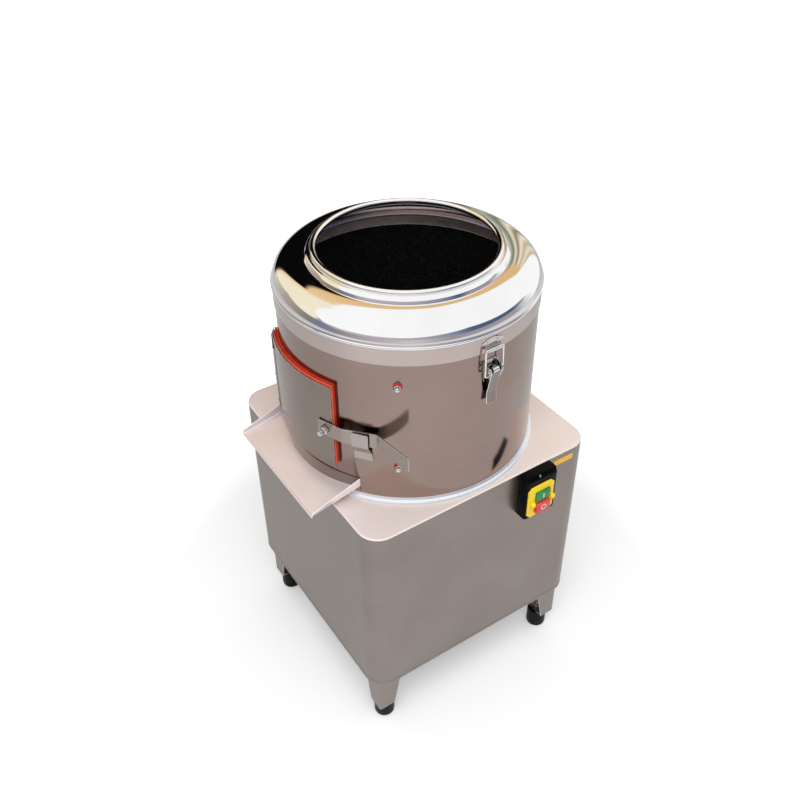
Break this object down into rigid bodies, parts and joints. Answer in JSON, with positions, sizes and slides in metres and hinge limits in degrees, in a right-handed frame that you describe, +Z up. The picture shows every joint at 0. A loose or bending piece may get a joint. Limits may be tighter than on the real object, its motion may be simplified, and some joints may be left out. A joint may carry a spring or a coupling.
{
  "type": "electric potato peeler",
  "caption": "Floor-standing batch peeler: a spinning abrasive disc in a round drum on a cabinet, with a clamped cover, side door, chute and push-button switch.",
  "frame": {"origin": "on the floor under the middle of the whole outline", "axes": "+Z up, front (door and chute) towards -Y, switch on the +X side"},
  "size_m": [0.4567, 0.4924, 0.816],
  "materials": {
    "satin_steel": "satin stainless sheet",
    "polished_steel": "mirror-polished stainless",
    "fine_steel": "fine-brushed stainless",
    "painted_iron": "grey machine enamel",
    "rail_paint": "grey primer",
    "zinc_steel": "zinc-plated",
    "ground_steel": "ground",
    "black_rubber": "matte",
    "belt_rubber": "matte",
    "red_rubber": "satin silicone",
    "black_grit": "coarse abrasive grit",
    "black_plastic": "satin moulded",
    "yellow_plastic": "moulded",
    "green_plastic": "moulded",
    "red_plastic": "moulded"
  },
  "bodies": {
    "frame": {"cabinet_shell": "satin_steel", "top_plate": "fine_steel", "rear_panel": "satin_steel", "panel_screws": "zinc_steel", "cross_frame": "rail_paint", "leg_front_left": "satin_steel", "leg_front_right": "satin_steel", "leg_rear_left": "satin_steel", "leg_rear_right": "satin_steel", "foot_front_left": "black_rubber", "foot_front_right": "black_rubber", "foot_rear_left": "black_rubber", "foot_rear_right": "black_rubber", "frame_bolts": "zinc_steel", "motor_bracket": "rail_paint", "motor_housing": "painted_iron", "motor_stator": "ground_steel", "motor_fan_cover": "black_plastic", "terminal_box": "black_plastic", "drive_belt": "belt_rubber", "bearing_housing": "painted_iron", "shaft_bearings": "ground_steel", "shaft_seal": "black_rubber", "drum_shell": "satin_steel", "drum_floor": "satin_steel", "drain_pipe": "satin_steel", "lining": "black_grit", "lining_bolts": "polished_steel", "lining_washers": "red_rubber", "hinge_fixed_leaf": "polished_steel", "hinge_pin": "polished_steel", "keeper": "fine_steel", "chute": "fine_steel", "toggle_base_right": "polished_steel", "toggle_base_left": "polished_steel", "switch_box": "black_plastic", "switch_bezel": "yellow_plastic", "cable_gland": "black_plastic"},
    "spindle": {"main_shaft": "ground_steel", "shaft_pulley": "painted_iron", "disc_plate": "satin_steel", "disc_abrasive": "black_grit", "disc_nut": "zinc_steel"},
    "rotor": {"motor_rotor": "ground_steel", "motor_pulley": "painted_iron"},
    "door": {"door_panel": "satin_steel", "door_gasket": "red_rubber", "hinge_door_leaf": "polished_steel", "latch_pivot": "polished_steel"},
    "latch": {"latch_bar": "polished_steel"},
    "cover": {"cover_skirt": "fine_steel", "cover_dome": "polished_steel", "catch_right": "polished_steel", "catch_left": "polished_steel"},
    "lever_right": {"toggle_lever_right": "polished_steel"},
    "lever_left": {"toggle_lever_left": "polished_steel"},
    "bail_right": {"bail_right": "polished_steel"},
    "bail_left": {"bail_left": "polished_steel"},
    "start_button": {"start_button": "green_plastic"},
    "stop_button": {"stop_button": "red_plastic"}
  },
  "joints": [
    {"name": "spindle_spin", "type": "hinge", "parent": "frame", "child": "spindle", "pos_m": [-0.014, 0.0035, 0.4], "axis": [0, 0, 1], "continuous": true},
    {"name": "motor_spin", "type": "hinge", "parent": "frame", "child": "rotor", "pos_m": [-0.106, 0.1035, 0.3], "axis": [0, 0, 1], "continuous": true},
    {"name": "door_swing", "type": "hinge", "parent": "frame", "child": "door", "pos_m": [-0.11642, -0.17753, 0.62], "axis": [0, 0, -1], "range_deg": [0, 105]},
    {"name": "latch_lift", "type": "hinge", "parent": "door", "child": "latch", "pos_m": [0.06497, -0.19195, 0.6055], "axis": [0.3746, -0.9272, 0], "range_deg": [0, 35]},
    {"name": "cover_lift", "type": "slide", "parent": "frame", "child": "cover", "axis": [0, 0, 1], "range_m": [0, 0.1]},
    {"name": "lever_right_swing", "type": "hinge", "parent": "frame", "child": "lever_right", "pos_m": [0.19593, 0.009, 0.709], "axis": [0.0262, -0.9997, 0], "range_deg": [0, 90]},
    {"name": "bail_right_swing", "type": "hinge", "parent": "lever_right", "child": "bail_right", "pos_m": [0.19393, 0.00894, 0.6995], "axis": [-0.0262, 0.9997, 0], "range_deg": [0, 72]},
    {"name": "lever_left_swing", "type": "hinge", "parent": "frame", "child": "lever_left", "pos_m": [-0.22393, 0.009, 0.709], "axis": [0.0262, 0.9997, 0], "range_deg": [0, 90]},
    {"name": "bail_left_swing", "type": "hinge", "parent": "lever_left", "child": "bail_left", "pos_m": [-0.22193, 0.00894, 0.6995], "axis": [-0.0262, -0.9997, 0], "range_deg": [0, 72]},
    {"name": "start_press", "type": "slide", "parent": "frame", "child": "start_button", "axis": [-1, 0, 0], "range_m": [0, 0.003], "stiffness_N_per_m": 300, "springref_m": -0.002},
    {"name": "stop_press", "type": "slide", "parent": "frame", "child": "stop_button", "axis": [-1, 0, 0], "range_m": [0, 0.003], "stiffness_N_per_m": 300, "springref_m": -0.002}
  ],
  "couplings": [
    {"joint": "motor_spin", "follows": "spindle_spin", "ratio": 3.1667},
    {"joint": "bail_right_swing", "follows": "lever_right_swing", "ratio": 0.8},
    {"joint": "bail_left_swing", "follows": "lever_left_swing", "ratio": 0.8}
  ]
}
